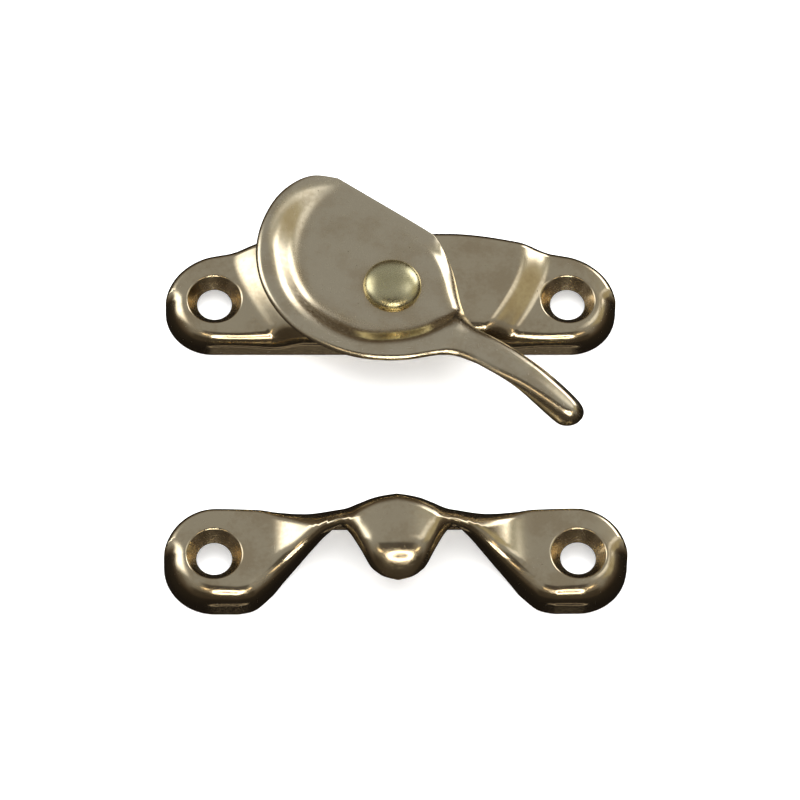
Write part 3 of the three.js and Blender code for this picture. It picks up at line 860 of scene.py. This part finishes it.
def world_light():
    world = bpy.data.worlds.new("studio")
    bpy.context.scene.world = world
    world.use_nodes = True
    nodes = Nodes(world.node_tree)
    look = nodes.add("TexCoord").outputs["Generated"]
    height = nodes.add("SeparateXYZ", {0: look}).outputs[2]
    level_share = nodes.add("MapRange", {0: height, 1: -1.0, 2: 1.0}).outputs[0]
    ramp_node = nodes.add("ValToRGB", {0: level_share})
    stops = ramp_node.color_ramp.elements
    while len(stops) < len(SKY):
        stops.new(0.5)
    for stop, (at, colour) in zip(stops, SKY):
        stop.position = (at + 1) / 2
        stop.color = (*colour, 1)
    tone = ramp_node.outputs[0]

    def lean(towards):
        return nodes.add("VectorMath", {0: look, 1: towards}, operation="DOT_PRODUCT").outputs["Value"]

    for azimuth, elevation, wide, tall, soft, colour in PANELS:
        middle = direction(azimuth, elevation)
        side = direction(azimuth + 90, 0)
        up = middle.cross(side)
        shares = []
        for axis, half in ((side, wide), (up, tall)):
            off = nodes.math("ABSOLUTE", lean(axis))
            near, far = (math.sin(math.radians(angle)) for angle in (half, half + soft))
            shares.append(nodes.spread(off, near, far, 1.0, 0.0))
        ahead = nodes.spread(lean(middle), 0.0, 0.2)
        share = nodes.math("MULTIPLY", nodes.math("MULTIPLY", *shares), ahead)
        tone = nodes.mix(share, tone, (*colour, 1))

    for azimuth, elevation, radius, wide, colour in RINGS:
        off = nodes.math("ARCCOSINE", lean(direction(azimuth, elevation)))
        off = nodes.math("ABSOLUTE", nodes.math("SUBTRACT", off, math.radians(radius)))
        share = nodes.spread(off, math.radians(wide * 0.3), math.radians(wide), 1.0, 0.0)
        tone = nodes.mix(share, tone, (*colour, 1))
    back = nodes.add("Background", {"Color": tone, "Strength": 1.0})
    nodes.add("OutputWorld", {"Surface": back.outputs[0]})


def area_light(name, azimuth, elevation, distance, size, power, glossy):
    light = bpy.data.lights.new(name, "AREA")
    light.shape = "DISK"
    light.size = size
    light.energy = power
    lamp = bpy.data.objects.new(name, light)
    lamp.location = direction(azimuth, elevation) * distance
    lamp.rotation_euler = direction(azimuth, elevation).to_track_quat("Z", "Y").to_euler()
    lamp.visible_glossy = glossy
    bpy.context.scene.collection.objects.link(lamp)


FLOOR_GAP = 0.00002  # metres that keep the floor from lying in the plates' undersides


def backdrop():
    """A pale floor that curves up far behind the object. Polished metal doesn't mirror it."""
    profile = [(0, 0), (0.5, 0), (1.6, 0)]
    profile += [(1.6 + math.sin(a), 1 - math.cos(a)) for a in np.radians(np.arange(9, 91, 9))]
    segments = 96
    points = [(0, 0, 0)]
    for radius, height in profile[1:]:
        for i in range(segments):
            a = 2 * math.pi * i / segments
            points.append((radius * math.cos(a), radius * math.sin(a), height))
    faces = [(0, 1 + i, 1 + (i + 1) % segments) for i in range(segments)]
    for k in range(len(profile) - 2):
        first = range(1 + k * segments, 1 + (k + 1) * segments)
        faces += quads(first, range(1 + (k + 1) * segments, 1 + (k + 2) * segments))
    mesh = bpy.data.meshes.new("backdrop")
    mesh.from_pydata(points, [], faces)
    mesh.shade_smooth()
    floor = bpy.data.objects.new("backdrop", mesh)
    floor.location.z = cad_low.z - FLOOR_GAP
    floor.visible_glossy = False
    floor.visible_shadow = False
    bpy.context.scene.collection.objects.link(floor)

    material = bpy.data.materials.new("pale_paper")
    material.use_nodes = True
    nodes = Nodes(material.node_tree)
    place = nodes.add("TexCoord").outputs["Object"]
    fibre = nodes.noise(place, 1.2, 4)
    tone = nodes.mix(nodes.spread(fibre, 0.3, 0.7), (0.86, 0.86, 0.855, 1), (0.88, 0.88, 0.875, 1))
    bump = nodes.add("Bump", {"Height": fibre, "Strength": 0.1, "Distance": 0.00002})
    shader = nodes.add("BsdfPrincipled", {
        "Base Color": tone, "Roughness": 0.9, "Normal": bump.outputs[0],
        "Emission Color": (1, 1, 1, 1), "Emission Strength": 0.45,
    })
    nodes.add("OutputMaterial", {"Surface": shader.outputs[0]})
    mesh.materials.append(material)


CAMERA = {
    "target": (0.0, -0.0029, 0.004), "azimuth": -4.2, "elevation": 61.3, "roll": 3.66, "distance": 0.6548,
    "lens": 212.8, "shift": (0.008, 0.0116),
}


def camera():
    a, e, roll = (math.radians(CAMERA[key]) for key in ("azimuth", "elevation", "roll"))
    back = Vector((math.sin(a) * math.cos(e), -math.cos(a) * math.cos(e), math.sin(e)))
    level_right = Vector((math.cos(a), math.sin(a), 0))
    level_up = back.cross(level_right)
    right = level_right * math.cos(roll) + level_up * math.sin(roll)
    up = level_up * math.cos(roll) - level_right * math.sin(roll)
    lens = bpy.data.cameras.new("camera")
    lens.lens = CAMERA["lens"]
    lens.sensor_width = 36
    lens.shift_x, lens.shift_y = CAMERA["shift"]
    lens.clip_start, lens.clip_end = 0.01, 20
    eye = bpy.data.objects.new("camera", lens)
    eye.matrix_world = Matrix.LocRotScale(
        Vector(CAMERA["target"]) + back * CAMERA["distance"],
        Matrix((right, up, back)).transposed().to_quaternion(), None)
    bpy.context.scene.collection.objects.link(eye)
    bpy.context.scene.camera = eye


# ---- assembly ----

PIVOT_FOOT = (PIVOT[0], PIVOT[1], cad_low.z)
_, keeper_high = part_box("keeper_plate")
KEEPER_FOOT = (0.0, keeper_high.y - (KEEPER["y"] + KEEPER["radius"] + KEEPER_INSET) * MM, cad_low.z)

camera()
world_light()
backdrop()
area_light("overhead", azimuth=90, elevation=80, distance=2.2, size=3.0, power=95, glossy=False)

materials = {
    "plate_brass": metal("plate_brass", (0.80, 0.69, 0.47), (0.46, 0.31, 0.15), 0.17, 0.15),
    "cam_brass": metal("cam_brass", (0.83, 0.73, 0.52), (0.52, 0.38, 0.2), 0.2, 0.15),
    "rivet_brass": metal("rivet_brass", (0.76, 0.70, 0.42), (0.42, 0.36, 0.16), 0.27, 0.1),
    "washer_steel": metal("washer_steel", (0.5, 0.49, 0.47), (0.25, 0.2, 0.15), 0.38, 0.0),
}
friction, spring, burr = washers()
pieces = [
    (base_shell(), "lock_base", "base_shell", "plate_brass"),
    (friction, "lock_base", "friction_washer", "washer_steel"),
    (spring, "lock_base", "spring_washer", "washer_steel"),
    (cam_lever(), "cam", "cam_lever", "cam_brass"),
    (pivot_rivet(), "cam", "pivot_rivet", "rivet_brass"),
    (burr, "cam", "backing_burr", "rivet_brass"),
    (keeper_plate(), "keeper", "keeper_plate", "plate_brass"),
]
for piece, body, node, slot in pieces:
    piece.data.materials.append(materials[slot])
    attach(piece, body)
    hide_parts(node)

scene = bpy.context.scene
scene.view_settings.view_transform = "Standard"
